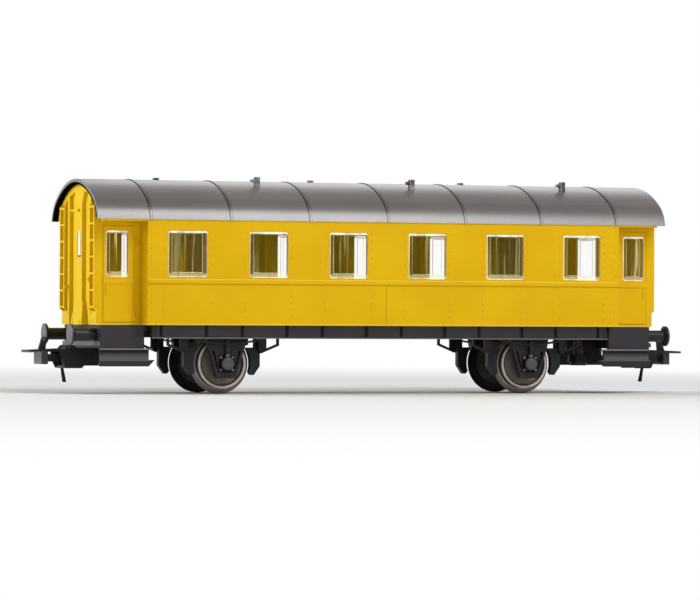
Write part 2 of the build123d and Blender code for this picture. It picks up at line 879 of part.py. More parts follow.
def drawbar():
    """Swinging bar with an eye at the pin and a pocket for the coupling's shank."""
    bar_z = span(coupling_z, drawbar_thickness)
    bar = rod_z(drawbar_eye_radius, pivot_x, 0, bar_z)
    bar += block((pivot_x, pocket_x[0]), span(0, drawbar_width), bar_z)
    bar += block(pocket_x, about(pocket_half_width), span(coupling_z, pocket_height))
    bar -= rod_z(pivot_radius + running_gap, pivot_x, 0, span(coupling_z, 2 * pocket_height))
    slot_x = (shank_x - shank_gap, pocket_x[1] + wall)
    slot_z = span(coupling_z, shank_height + 2 * shank_gap)
    return bar - block(slot_x, about(shank_half_width + shank_gap), slot_z)


def coupling_head():
    """Shank with a collar, buffing plate, upright hook horn and the trunnions that carry the loop."""
    head = block((shank_x, plate_x[1]), about(shank_half_width), span(coupling_z, shank_height))
    collar_x = pocket_x[1] + collar_gap
    collar_z = (coupling_z - pocket_height / 2, coupling_z)
    head += block((collar_x, collar_x + collar_length), about(collar_half_width), collar_z)
    head += block(plate_x, about(plate_half_width), span(coupling_z, plate_height))
    tip_x, tip_z = plate_x[1] - horn_setback, plate_top_z + horn_height - horn_tip_radius
    horn = outline(
        (plate_x[1] - horn_base, coupling_z),
        (plate_x[1], coupling_z),
        (plate_x[1], plate_top_z),
        (tip_x + horn_tip_radius, tip_z),
        (tip_x - horn_tip_radius, tip_z),
        (plate_x[1] - horn_base, plate_top_z),
    )
    thick = span(0, horn_thickness)
    head += plate_xz(horn, thick)
    head += rod_y(horn_tip_radius, tip_x, tip_z, thick)
    head -= rod_y(horn_hole_radius, tip_x, tip_z, about(horn_thickness))
    lug_x = span(trunnion_x, 2 * trunnion_boss_radius)
    head += block(lug_x, about(shank_half_width), (coupling_z, trunnion_z))
    head += rod_y(trunnion_boss_radius, trunnion_x, trunnion_z, about(lug_half_width))
    return head + rod_y(trunnion_radius, trunnion_x, trunnion_z, about(loop_half_width))


def coupling_loop():
    """Lifting loop: side arms from the trunnions, front bar, curved cheeks, crossbar and trip pin."""
    inner_y = loop_half_width - loop_bar
    low = loop_thickness / 2
    arms = outline(
        (trunnion_x, trunnion_z - low),
        (loop_front_x, loop_front_z - low),
        (loop_front_x, loop_front_z + low),
        (trunnion_x, trunnion_z + low),
    )
    loop = plate_xz(arms, about(loop_half_width))
    reach, inside = loop_front_x - trunnion_x, loop_front_x - trunnion_x - loop_bar
    deep = span(trunnion_z, 2 * crossbar_drop)
    rim = rounded(span(trunnion_x, 2 * reach), about(loop_half_width), loop_corner)
    eye = rounded(span(trunnion_x, 2 * inside), about(inner_y), loop_corner - loop_bar / 2)
    loop = (loop & plate_xy(rim, deep)) - plate_xy(eye, deep)
    rear, front = span(crossbar_x, crossbar_width)
    arm_z = (trunnion_z + loop_front_z) / 2
    bottom = crossbar_z - crossbar_width
    nose, tail = front + cheek_nose, trunnion_x - cheek_tail
    points = (
        (front, bottom),
        (tail + cheek_heel, bottom),
        (tail, bottom + cheek_heel),
        (tail, arm_z - cheek_tail_drop),
        (trunnion_x - loop_eye_radius, arm_z),
        (nose, arm_z),
    )
    edges = [Line(a, b) for a, b in zip(points, points[1:])]
    middle = (nose - cheek_bow, (arm_z + bottom) / 2)
    cheek = make_face([ThreePointArc((nose, arm_z), middle, (front, bottom)), *edges])
    for y in ((-loop_half_width, -inner_y), (inner_y, loop_half_width)):
        loop += plate_xz(cheek, y)
        loop += rod_y(loop_eye_radius, trunnion_x, trunnion_z, y)
    loop += block((rear, front), about(loop_half_width), (bottom, crossbar_z))
    tip_z = crossbar_z - crossbar_width / 2 - trip_pin_length
    tip = Pos(crossbar_x - trip_pin_lean, 0, tip_z) * Circle(trip_pin_radius)
    root = Pos(crossbar_x, 0, crossbar_z - crossbar_width / 2) * Circle(trip_pin_top_radius)
    loop += loft([tip, root])
    return loop - rod_y(trunnion_radius + running_gap, trunnion_x, trunnion_z, about(2 * loop_half_width))


def write(name, shapes):
    """One STEP file for a node made of one solid or of several that don't touch."""
    pieces = shapes if isinstance(shapes, list) else [shapes]
    solids = [s for piece in pieces for s in piece.solids()]
    export_step(solids[0] if len(solids) == 1 else Compound(children=solids), f"parts/{name}.step")


def main():
    os.makedirs("parts", exist_ok=True)
    write("roof", roof())
    write("roof_vents", roof_vents())
    write("floor_plate", floor_plate())
    write("ballast_plate", ballast_plate())
    for name, piece in (("side_wall", side_wall()), ("side_glazing", side_glazing()), ("solebar", solebar())):
        write(f"{name}_left", piece)
        write(f"{name}_right", right_of(piece))

    # Pieces of end b, and whether end b has one on each side
    at_end = (
        ("end_wall", end_wall_panel(), False),
        ("partition", partition(), False),
        ("vestibule_wall", vestibule_wall(), True),
        ("buffer_beam", buffer_beam(), False),
        ("entrance_step", entrance_step(), True),
        ("buffer", buffer(), True),
        ("axle_guard", Pos(half_wheelbase, 0, 0) * axle_guard(), True),
        ("axle", Pos(half_wheelbase, 0, axle_z) * axle(), False),
        ("pivot_pin", pivot_pin(), False),
        ("drawbar", drawbar(), False),
        ("coupling_head", coupling_head(), False),
        ("coupling_loop", coupling_loop(), False),
    )
    for name, piece, sided in at_end:
        if sided:
            write(f"{name}_b_left", piece)
            write(f"{name}_b_right", right_of(piece))
            write(f"{name}_a_right", turned * piece)
            write(f"{name}_a_left", turned * right_of(piece))
        else:
            write(f"{name}_b", piece)
            write(f"{name}_a", turned * piece)

    # Nodes of end b that hold several like pieces
    to_axle = Pos(half_wheelbase, 0, axle_z)
    in_sets = (
        ("vestibule_glazing", vestibule_glazing()),
        ("tyres", [to_axle * tyre(), to_axle * right_of(tyre())]),
        ("wheel_discs", [to_axle * wheel_disc(), to_axle * right_of(wheel_disc())]),
        ("brake_shoes", around_wheels(brake_shoe())),
        ("brake_brackets", around_wheels(brake_bracket())),
    )
    for name, pieces in in_sets:
        write(f"{name}_b", pieces)
        write(f"{name}_a", [turned * p for p in pieces])


main()
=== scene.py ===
"""Looks of the two-axle model coach: glazing, rivets, small fittings, finishes, light and camera."""
import json
from math import cos, pi, radians, sin

import bpy
import numpy as np
from mathutils import Matrix, Vector


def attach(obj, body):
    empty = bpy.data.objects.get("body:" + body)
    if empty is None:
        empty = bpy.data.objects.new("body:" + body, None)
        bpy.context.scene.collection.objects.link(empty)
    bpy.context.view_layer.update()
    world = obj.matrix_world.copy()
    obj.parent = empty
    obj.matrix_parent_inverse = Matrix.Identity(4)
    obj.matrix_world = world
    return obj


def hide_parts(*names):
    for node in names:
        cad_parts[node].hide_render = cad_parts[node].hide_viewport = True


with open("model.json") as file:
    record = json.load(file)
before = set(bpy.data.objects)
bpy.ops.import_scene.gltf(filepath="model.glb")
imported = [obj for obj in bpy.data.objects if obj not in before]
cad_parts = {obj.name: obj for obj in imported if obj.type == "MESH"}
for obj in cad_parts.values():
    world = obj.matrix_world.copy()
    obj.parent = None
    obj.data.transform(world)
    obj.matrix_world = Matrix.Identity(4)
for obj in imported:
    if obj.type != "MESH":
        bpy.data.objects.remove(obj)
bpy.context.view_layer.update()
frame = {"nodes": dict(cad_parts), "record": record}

nodes = frame["nodes"]
MM = 0.001

# Sizes of the coach in millimetres, as in the solids
WINDOW_PITCH = 18.24
WINDOW_X = WINDOW_PITCH * (np.arange(6) - 2.5)
WINDOW_WIDTH, WINDOW_Z, WINDOW_CORNER = 8.8, (25.05, 35.05), 0.45
SIDE_Y, SIDE_INNER_Y, SIDE_X = 18.0, 16.7, 54.5
FLOOR_Z, BELT_Z = 14.85, (23.65, 24.75)
DOOR_WINDOW_X, DOOR_WINDOW_WIDTH = 60.0, 5.05
DOOR_FACE_Y, DOOR_INNER_Y = 13.52, 12.1
END_WINDOW_WIDTH, END_WINDOW_Z = 2.9, (29.25, 35.05)
END_DOOR_X, END_INNER_X = 64.55, 62.65
LADDER_X, LADDER_Y = 65.15, 9.9
KNOB_Z, KNOB_RADIUS, KNOB_HEIGHT, KNOB_SINK = 24.5, 0.42, 0.55, 0.02
AXLE_X, AXLE_Z = 35.25, 6.6
TYRE_BORE, TREAD_RADIUS, FLANGE_RADIUS = 4.65, 5.5, 6.6
WHEEL_BACK_Y, FLANGE_Y, WHEEL_FACE_Y, HUB_RADIUS = 7.2, 7.9, 10.0, 2.4
GUARD_Y, BOX_FLOOR_Y, BOX_HALF, CAP_RADIUS = 13.2, 12.8, 2.0, 1.5
SOLEBAR_Y, SOLEBAR_Z, RIB_X = 14.6, (12.0, 14.85), 5.085
STEP_X, RISER_Y, LEDGE_Z, TREAD_Z = 51.85, 13.7, (9.5, 9.85), 7.4
DOOR_X, DOOR_Z = (56.3, 63.1), (15.5, 36.0)
HINGE_X, HINGE_Z, STRAP_SIZE, STRAP_SHIFT = 55.9, (16.35, 32.45), (1.7, 0.42), 0.42
STRAP_PROUD, STRAP_DEPTH, STRAP_BEVEL, STRAP_CORNER = 0.12, 0.4, 0.06, 0.15
RIVET_RADIUS, RIVET_HEIGHT, RIVET_SINK = 0.2, 0.15, 0.01
RIVET_OFF_WINDOW, RIVET_END_X = 0.85, 53.6
RIVET_ROWS = ((16.7, 22.73, 5), (26.1, 34.76, 6))
BEAM_X, BEAM_LIP_Z = 63.75, (10.3, 11.25)
BUFFER_FACE_X = 69.55
BUFFING_PLATE_X, BUFFING_PLATE_TOP_Z = (72.0, 73.7), 9.2
CROSS_WALL_X = (35.9, 37.1)
SEAM_PITCH, SEAM_WIDTH, ROOF_THICKNESS = 17.94, 0.5, 1.1
SHOULDER, SHOULDER_RADIUS = (10.757, 35.370), 7.75
CROWN_Z, CROWN_RADIUS = 18.764, 27.536
PANE_GAP, PANE_RECESS, PANE_SILL, GLAZING, GLAZING_LAP = 0.06, 0.05, 1.0, 1.0, 1.2


# Shader expressions
class Wire:
    """A shader socket: operators on it add Math nodes, and add() makes any other node of its tree."""

    def __init__(self, tree, socket=None):
        self.tree = tree
        self.socket = socket

    def add(self, kind, settings=None, inputs=None, output=0):
        """New node: its settings are set first, then its sockets get values or links."""
        node = self.tree.nodes.new("ShaderNode" + kind)
        for key, value in (settings or {}).items():
            setattr(node, key, value)
        for key, value in (inputs or {}).items():
            if isinstance(value, Wire):
                self.tree.links.new(value.socket, node.inputs[key])
            else:
                node.inputs[key].default_value = value
        return Wire(self.tree, node.outputs[output] if len(node.outputs) else None)

    def math(self, operation, first, second=0.0):
        return self.add("Math", {"operation": operation}, {0: first, 1: second})

    def __add__(self, other):
        return self.math("ADD", self, other)

    def __sub__(self, other):
        return self.math("SUBTRACT", self, other)

    def __rsub__(self, other):
        return self.math("SUBTRACT", other, self)

    def __mul__(self, other):
        return self.math("MULTIPLY", self, other)

    def __truediv__(self, other):
        return self.math("DIVIDE", self, other)

    def __rtruediv__(self, other):
        return self.math("DIVIDE", other, self)

    def __pow__(self, other):
        return self.math("POWER", self, other)

    def __rpow__(self, other):
        return self.math("POWER", other, self)

    def __abs__(self):
        return self.math("ABSOLUTE", self)

    def __or__(self, other):
        return self.math("MAXIMUM", self, other)

    __radd__ = __add__
    __rmul__ = __mul__
    __ror__ = __or__

    def rise(self, low, high):
        """0 up to low, 1 from high on, and a smooth step between them; high may be the smaller one."""
        limits = {"Value": self, "From Min": low, "From Max": high}
        return self.add("MapRange", {"interpolation_type": "SMOOTHSTEP"}, limits)

    def within(self, low, high, soft=0.04):
        """1 between low and high, 0 outside them, with soft edges."""
        return self.rise(low - soft, low + soft) * self.rise(high + soft, high - soft)

    def tint(self, low, high):
        """Colour that goes from low at 0 to high at 1."""
        return self.add("Mix", {"data_type": "RGBA"}, {0: self, 6: low, 7: high}, 2)

    def noise(self, scale, detail=2.0, roughness=0.5, stretch=None):
        """Noise from 0 to 1 over this vector, with scale in cells per metre and a stretch per axis."""
        vector = self
        if stretch is not None:
            vector = self.add("VectorMath", {"operation": "MULTIPLY"}, {0: self, 1: stretch})
        inputs = {"Vector": vector, "Scale": scale, "Detail": detail, "Roughness": roughness}
        return self.add("TexNoise", {}, inputs)

    def along(self, axis):
        """The coordinate of this vector along one axis, in millimetres."""
        return self.add("SeparateXYZ", {}, {0: self}, "XYZ".index(axis)) / MM

    def millimetres(self):
        """The three coordinates of this vector, in millimetres."""
        return [self.along(axis) for axis in "XYZ"]


def linear(red, green, blue):
    """Colour from 8-bit screen values, in the linear values that sockets take."""
    steps = np.array([red, green, blue]) / 255
    lit = np.where(steps <= 0.04045, steps / 12.92, ((steps + 0.055) / 1.055) ** 2.4)
    return (*lit.tolist(), 1.0)


BLACK, WHITE = (0.0, 0.0, 0.0, 1.0), (1.0, 1.0, 1.0, 1.0)
MATT_BLACK = linear(14, 13, 13)


def new_tree(name):
    """Empty node tree of a new material, as a wire to start from, and its Object coordinates."""
    material = bpy.data.materials.new(name)
    material.use_nodes = True
    material.node_tree.nodes.clear()
    start = Wire(material.node_tree)
    return material, start, start.add("TexCoord", output=3)


def surface(start, colour, roughness, height=None, depth=0.02, shaded=None, **values):
    """Principled surface with a bump of that depth in millimetres, joined to the material's output.

    Where shaded is 1, a matt black takes its place."""
    sockets = {"Base Color": colour, "Roughness": roughness}
    sockets.update({key.replace("_", " "): value for key, value in values.items()})
    if height is not None:
        bump = {"Strength": 1.0, "Distance": depth * MM, "Height": height}
        sockets["Normal"] = start.add("Bump", {}, bump)
    skin = start.add("BsdfPrincipled", {}, sockets)
    if shaded is not None:
        black = start.add("BsdfDiffuse", {}, {"Color": MATT_BLACK})
        skin = start.add("MixShader", {}, {0: shaded, 1: skin, 2: black})
    start.add("OutputMaterial", {}, {"Surface": skin})


# Finishes
def yellow_moulding():
    """Yellow plastic with a fine skin, painted highlights along the bottom edge and the belt's top edge,
    and painted shade at the belt foot and along the door leaf edges.

    The end walls are painted paler as light, and the inside is painted paler with pale streaks as light
    and reflections and has a faint painted glow, with the cross walls painted darker as shade."""
    material, start, place = new_tree("yellow_moulding")
    x, y, z = place.millimetres()
    cloud = place.noise(70, 3).rise(0.3, 0.7)
    skin = place.noise(1900, 2)
    colour = cloud.tint(linear(212, 167, 3), linear(218, 174, 6))
    # Painted highlights: paler bands along the bottom edge of the body and the top edge of the belt.
    sill = z.rise(FLOOR_Z + 0.42, FLOOR_Z + 0.2)
    proud = abs(y).rise(SIDE_Y + 0.03, SIDE_Y + 0.1)
    edge_highlight = (sill * 0.5) | (proud * z.within(BELT_Z[1] - 0.2, BELT_Z[1] + 0.1) * 0.5)
    colour = edge_highlight.tint(colour, linear(248, 214, 70))
    # Painted shade: darker lines at the foot of the belt and along the edges of the door leaves.
    leaf = door_edge(abs(x), z) * abs(y).within(DOOR_FACE_Y - 0.2, DOOR_FACE_Y + 0.02)
    foot = proud * z.within(BELT_Z[0] - 0.1, BELT_Z[0] + 0.14)
    colour = ((foot * 0.6) | (leaf * 0.36)).tint(colour, linear(150, 114, 2))
    # Painted light: the end walls are painted a paler, cleaner yellow.
    end_wall_light = abs(x).rise(END_INNER_X + 0.5, END_INNER_X + 0.9)
    end_wall_light = end_wall_light * abs(y).rise(DOOR_FACE_Y - 0.1, DOOR_FACE_Y - 0.3)
    colour = (end_wall_light * 0.8).tint(colour, linear(224, 190, 26))
    saloon = abs(x).rise(SIDE_X - 0.1, SIDE_X - 0.2)
    saloon = saloon * abs(y).rise(SIDE_INNER_Y + 0.2, SIDE_INNER_Y + 0.05)
    lobby = abs(x).rise(END_INNER_X + 0.2, END_INNER_X + 0.05)
    lobby = lobby * abs(y).rise(DOOR_INNER_Y + 0.2, DOOR_INNER_Y + 0.05)
    inside = saloon | lobby
    # Painted light inside: paler walls with pale streaks as reflections, and a faint glow.
    streak = place.noise(900, 3, 0.6, (1.0, 1.0, 0.04)).rise(0.35, 0.7)
    # Painted shade: the cross walls are painted darker and have no glow.
    cross = abs(x).within(*CROSS_WALL_X) * 0.5
    inside_light_and_shade = cross.tint(streak.tint(linear(226, 186, 8), linear(255, 224, 60)), linear(116, 100, 2))
    colour = inside.tint(colour, inside_light_and_shade)
    glow = streak.tint(linear(226, 188, 20), linear(255, 224, 60))
    glow = (inside - cross).tint(BLACK, glow)
    surface(start, colour, 0.46 + skin * 0.14, skin, 0.012, Specular_IOR_Level=0.12,
            Emission_Color=glow, Emission_Strength=0.055)
    return material


def door_edge(x, z):
    """1 along the edge of the door leaves, where painted shade goes, by the distance to their upright
    rectangle in X and Z.
    """
    beyond = abs(x - sum(DOOR_X) / 2) - (DOOR_X[1] - DOOR_X[0]) / 2
    above = abs(z - sum(DOOR_Z) / 2) - (DOOR_Z[1] - DOOR_Z[0]) / 2
    return abs(beyond | above).rise(0.2, 0.08)


def rivet_moulding():
    """Yellow plastic of the rivet heads, with a painted highlight at the tip and painted shade round the
    foot.
    """
    material, start, place = new_tree("rivet_moulding")
    skin = place.noise(1900, 2)
    height = abs(place.along("Y")).rise(SIDE_Y - RIVET_SINK, SIDE_Y + RIVET_HEIGHT)
    # Painted highlight towards the tip and painted shade round the foot, by height above the wall.
    colour = height.rise(0.1, 0.55).tint(linear(186, 144, 4), linear(222, 179, 14))
    surface(start, colour, 0.4 + skin * 0.14, skin, 0.01, Specular_IOR_Level=0.3)
    return material


def roof_moulding():
    """Satin grey plastic, with painted shade: a dark line along each edge of a cover strip,
    and a black underside at the ends.

    The depth under the roof's skin is the arc radius less the distance from the arc's middle, with the
    shoulder arc's values beyond the line through both middles and the crown arc's values before it."""
    material, start, place = new_tree("roof_moulding")
    x, y, z = place.millimetres()
    sheet = x / SEAM_PITCH
    off_seam = abs(sheet - start.math("ROUND", sheet)) * SEAM_PITCH
    # Painted shade: a dark line along each edge of a cover strip.
    line = abs(off_seam - SEAM_WIDTH / 2).rise(0.17, 0.06)
    aside, above = abs(y) - SHOULDER[0], z - SHOULDER[1]
    shoulder_depth = SHOULDER_RADIUS - (aside * aside + above * above) ** 0.5
    high = z - CROWN_Z
    crown_depth = CROWN_RADIUS - (y * y + high * high) ** 0.5
    beyond = (abs(y) * (SHOULDER[1] - CROWN_Z) - high * SHOULDER[0]).rise(-0.1, 0.1)
    depth = crown_depth + (shoulder_depth - crown_depth) * beyond
    # Painted shade: the underside of the overhang at each end is drawn matt black.
    under = depth.rise(ROOF_THICKNESS - 0.5, ROOF_THICKNESS - 0.4)
    under = under * abs(x).rise(END_INNER_X - 0.5, END_INNER_X)
    cloud = place.noise(60, 3).rise(0.3, 0.7)
    grain = place.noise(2400, 3)
    colour = cloud.tint(linear(103, 98, 96), linear(111, 106, 103))
    colour = (line * 0.95).tint(colour, MATT_BLACK)
    surface(start, colour, 0.26 + grain * 0.1, grain, 0.01, under, Specular_IOR_Level=0.9)
    return material


def frame_moulding():
    """Black-grey plastic with painted highlights along the edges of flange, ledge, tread and beam lip,
    painted shade below the solebar and on the ribs, and painted light and shade on the step risers.

    The axleboxes stand in recesses painted dark as shade, with painted highlights on their cap and bolts."""
    material, start, place = new_tree("frame_moulding")
    x, y, z = place.millimetres()
    bloom = place.noise(150, 4, 0.6).rise(0.35, 0.75)
    grain = place.noise(2600, 3)
    colour = (bloom * 0.4).tint(linear(58, 56, 59), linear(72, 70, 73))
    # Painted shade below the solebar: all but the steps are painted darker.
    low = z.rise(SOLEBAR_Z[0] - 0.05, SOLEBAR_Z[0] - 0.2) * abs(x).rise(STEP_X - 0.1, STEP_X - 0.3)
    colour = abs(x).rise(STEP_X - 0.3, STEP_X - 0.1).tint(colour, linear(49, 47, 50))
    colour = (low * 0.9).tint(colour, (bloom * 0.5).tint(linear(27, 25, 28), linear(46, 44, 47)))
    flange = abs(y).rise(SOLEBAR_Y + 0.9, SOLEBAR_Y + 1.0) * z.within(SOLEBAR_Z[0], SOLEBAR_Z[0] + 0.22)
    step = abs(y).rise(RISER_Y - 0.3, RISER_Y - 0.2) * abs(x).rise(STEP_X - 0.3, STEP_X - 0.1)
    riser = step * z.within(TREAD_Z + 0.05, LEDGE_Z[0] - 0.03)
    # Painted shade under the ledge, turning to painted light towards the tread, on the step risers.
    riser_shading = z.rise(LEDGE_Z[0] - 0.1, TREAD_Z).tint(linear(20, 19, 20), linear(98, 94, 97))
    colour = riser.tint(colour, riser_shading)
    colour = (step * z.rise(TREAD_Z - 0.1, TREAD_Z - 0.3)).tint(colour, linear(46, 41, 42))
    ledge = step * z.within(LEDGE_Z[0] + 0.05, LEDGE_Z[1])
    tread = step * z.within(TREAD_Z - 0.16, TREAD_Z + 0.03)
    lip = abs(x).rise(BEAM_X + 0.1, BEAM_X + 0.2) * z.within(*BEAM_LIP_Z)
    # Painted highlights along the solebar flange, the step ledge and tread, and the beam lip.
    pale = (flange * 0.55) | (ledge * 0.7) | (tread * 0.45) | (lip * 0.5)
    colour = pale.tint(colour, linear(132, 128, 131))
    cell = x / WINDOW_PITCH - 0.5
    off_window = abs(cell - start.math("ROUND", cell)) * WINDOW_PITCH
    rib_shade = abs(off_window - RIB_X).rise(0.3, 0.2) * z.rise(SOLEBAR_Z[0] + 0.3, SOLEBAR_Z[0] + 0.4)
    rib_shade = rib_shade * abs(y).rise(SOLEBAR_Y - 0.2, SOLEBAR_Y)
    radius = wheel_distance(place)
    guard = abs(y).rise(BOX_FLOOR_Y - 0.2, BOX_FLOOR_Y - 0.1)
    square = (abs(abs(x) - AXLE_X) | abs(z - AXLE_Z)).rise(BOX_HALF + 0.05, BOX_HALF - 0.1)
    recess_shade = guard * square * abs(y).rise(GUARD_Y + 0.1, GUARD_Y + 0.02)
    # Painted shade: the solebar ribs and the axlebox recesses are drawn near black.
    colour = (rib_shade | recess_shade).tint(colour, linear(12, 11, 12))
    proud = abs(y).rise(GUARD_Y + 0.1, GUARD_Y + 0.2) * square
    cap = proud * radius.rise(CAP_RADIUS, CAP_RADIUS - 0.3)
    bolts = proud * radius.rise(CAP_RADIUS + 0.02, CAP_RADIUS + 0.08)
    # Painted highlights on the axlebox caps and bolts.
    colour = ((cap * 0.4) | (bolts * 0.7)).tint(colour, linear(112, 108, 111))
    surface(start, colour, 0.36 + grain * 0.16, grain, 0.016, Specular_IOR_Level=0.3)
    return material


def vent_moulding():
    """Dark grey plastic with pale upright streaks and a fine grain."""
    material, start, place = new_tree("vent_moulding")
    streak = place.noise(2400, 2, 0.5, (1.0, 1.0, 0.1)).rise(0.44, 0.62)
    grain = place.noise(2600, 3)
    colour = streak.tint(linear(66, 64, 64), linear(156, 152, 152))
    surface(start, colour, 0.42 + grain * 0.16, grain, 0.016, Specular_IOR_Level=0.35)
    return material


def buffer_moulding():
    """Dark plastic, paler in patches on the flat buffer faces."""
    material, start, place = new_tree("buffer_moulding")
    face = abs(place.along("X")).rise(BUFFER_FACE_X - 0.35, BUFFER_FACE_X - 0.05)
    grain = place.noise(2200, 3)
    patches = place.noise(400, 3).rise(0.25, 0.7)
    colour = (face * (0.6 + patches * 0.4)).tint(linear(34, 31, 33), linear(102, 99, 101))
    surface(start, colour, 0.34 + grain * 0.15, grain, 0.016, Specular_IOR_Level=0.35)
    return material


def coupling_moulding():
    """Dark plastic, paler and browner on the outer faces of the buffing plate."""
    material, start, place = new_tree("coupling_moulding")
    out, (rear, face) = abs(place.along("X")), BUFFING_PLATE_X
    outer = out.rise(rear, rear + 0.3)
    outer = outer * place.along("Z").rise(BUFFING_PLATE_TOP_Z, BUFFING_PLATE_TOP_Z - 0.3)
    front = out.rise(face - 0.2, face - 0.05)
    grain = place.noise(2200, 3)
    bloom = place.noise(300, 3).rise(0.3, 0.75)
    colour = (bloom * 0.4).tint(linear(18, 17, 18), linear(36, 34, 35))
    colour = (outer * (0.3 + front * 0.6)).tint(colour, linear(104, 99, 97))
    surface(start, colour, 0.4 + grain * 0.15, grain, 0.016, Specular_IOR_Level=0.35)
    return material


def wheel_distance(place):
    """Distance from the axle of the nearer wheelset, in millimetres, on a wire."""
    along, above = abs(place.along("X")) - AXLE_X, place.along("Z") - AXLE_Z
    return (along * along + above * above) ** 0.5


def turned_steel():
    """Darkened steel with fine lathe rings and patches of soot: a pale rim, a black bore line, and painted
    shade on the tread, the flange, the flange tip and the back.
    """
    material, start, place = new_tree("turned_steel")
    radius = wheel_distance(place)
    rings = start.add("TexNoise", {"noise_dimensions": "1D"}, {"W": radius, "Scale": 9.0, "Detail": 3.0})
    soot = place.noise(500, 3).rise(0.3, 0.8)
    colour = rings.tint(linear(188, 177, 167), linear(222, 211, 200))
    colour = (soot * 0.25).tint(colour, linear(112, 103, 96))
    # Painted shade: the flange is painted darker, and the tread, the flange tip and the back near black.
    flange = radius.rise(TREAD_RADIUS + 0.05, TREAD_RADIUS + 0.25)
    colour = (flange * 0.75).tint(colour, linear(66, 60, 55))
    sides = abs(place.along("Y"))
    tread = sides.within(FLANGE_Y + 0.2, WHEEL_FACE_Y - 0.22, 0.1)
    tread = tread * radius.rise(TREAD_RADIUS - 0.3, TREAD_RADIUS - 0.1)
    back = sides.rise(WHEEL_BACK_Y + 0.45, WHEEL_BACK_Y + 0.3)
    tip = radius.rise(FLANGE_RADIUS - 0.2, FLANGE_RADIUS - 0.06)
    colour = ((tread * 0.88) | (back * 0.97) | (tip * 0.8)).tint(colour, linear(16, 14, 13))
    colour = radius.rise(TYRE_BORE + 0.36, TYRE_BORE + 0.14).tint(colour, linear(20, 18, 17))
    surface(start, colour, 0.3 + rings * 0.18, rings, 0.01, Metallic=0.4)
    return material


def disc_finish():
    """Brown-grey wheel disc with faint turned rings, and painted shade: a dark hub and a black back."""
    material, start, place = new_tree("disc_finish")
    radius = wheel_distance(place)
    rings = start.add("TexNoise", {"noise_dimensions": "1D"}, {"W": radius, "Scale": 5.0, "Detail": 3.0})
    colour = rings.tint(linear(104, 95, 88), linear(132, 122, 113))
    back = abs(place.along("Y")).rise(WHEEL_BACK_Y + 0.9, WHEEL_BACK_Y + 0.7)
    # Painted shade: the hub and the back of the disc are drawn dark.
    shade = radius.rise(HUB_RADIUS, HUB_RADIUS - 0.6) | back
    colour = (shade * 0.95).tint(colour, linear(17, 16, 16))
    surface(start, colour, 0.38 + rings * 0.16, rings, 0.012, Metallic=0.35)
    return material


def plain_steel(name, colour, worn):
    """Dull steel with a streaky drawn grain along X."""
    material, start, place = new_tree(name)
    streak = place.noise(1500, 4, 0.5, (0.08, 1.0, 1.0))
    surface(start, streak.tint(colour, worn), 0.36 + streak * 0.2, streak, 0.01, Metallic=0.8)
    return material


def clear_moulding(name, colour, alpha, roughness, glow=0.0, streaks=0.0, pitch=1300, sill=0.0):
    """Clear plastic with a thin body colour and faint upright flow lines; glow is painted light that it
    gives off.

    Streaks are thin, pale, upright glints painted as reflections: their value is how opaque they are,
    pitch is about how many there are in a metre, and the glow is theirs. Sill is how much more opaque
    the lowest band is."""
    material, start, place = new_tree(name)
    flow = place.noise(500, 2, 0.5, (1.0, 1.0, 0.1)).rise(0.3, 0.7)
    shade = tuple(c * 0.86 for c in colour[:3]) + (1.0,)
    opacity = alpha * 0.7 + flow * (alpha * 0.6)
    body, gleam = flow.tint(shade, colour), colour
    # Painted reflections: pale upright glints with a faint glow of their own.
    if streaks:
        pale = linear(252, 240, 168)
        streak = place.noise(pitch, 2, 0.5, (1.0, 1.0, 0.03)).rise(0.53, 0.66)
        body = streak.tint(body, pale)
        gleam = streak.tint(BLACK, pale)
        opacity = opacity + streak * streaks
    if sill:
        top = WINDOW_Z[0] + PANE_SILL
        opacity = opacity + place.along("Z").rise(top, top - 0.2) * sill
    surface(start, body, roughness, flow, 0.006, Alpha=opacity, Emission_Color=gleam,
            Emission_Strength=glow)
    return material


# Shapes
def around(rings, count):
    """Quads between neighbouring rings of count points each, closed round the ring."""
    row = np.arange(rings - 1)[:, None] * count
    here = np.arange(count)[None, :]
    after = (here + 1) % count
    quads = np.stack([row + here, row + after, row + count + after, row + count + here], -1)
    return quads.reshape(-1, 4)


def put(name, points, faces, finishes, body, smooth=False, finish_of=None):
    """Mesh from points in millimetres, at the origin; it rides on a body."""
    mesh = bpy.data.meshes.new(name)
    mesh.from_pydata((np.asarray(points) * MM).tolist(), [], [list(map(int, f)) for f in faces])
    for finish in finishes:
        mesh.materials.append(finish)
    if finish_of is not None:
        mesh.polygons.foreach_set("material_index", np.asarray(finish_of, np.int32))
    mesh.polygons.foreach_set("use_smooth", np.full(len(faces), smooth))
    mesh.update()
    piece = bpy.data.objects.new(name, mesh)
    bpy.context.scene.collection.objects.link(piece)
    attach(piece, body)
    return piece


def corner_turns(steps):
    """Angles of the points round a path: a quarter circle of that many points at each of four corners."""
    return (np.arange(4)[:, None] * pi / 2 + np.linspace(0, pi / 2, steps)).ravel()


def rounded_path(width, height, corner, margins, steps=5):
    """Rounded rectangle moved in by margins (left, right, low, high), with a quarter circle at each corner.

    A point is the middle of its corner circle plus its radius times the cosine and sine of its turn."""
    left, right, low, high = margins
    radius = max(corner - min(margins), 0.03)
    turn = corner_turns(steps)
    ends = np.array([width / 2 - right - radius, -width / 2 + left + radius])
    tops = np.array([height / 2 - high - radius, -height / 2 + low + radius])
    across = np.repeat(ends[[0, 1, 1, 0]], steps) + radius * np.cos(turn)
    up = np.repeat(tops[[0, 0, 1, 1]], steps) + radius * np.sin(turn)
    return np.stack([across, up], -1)


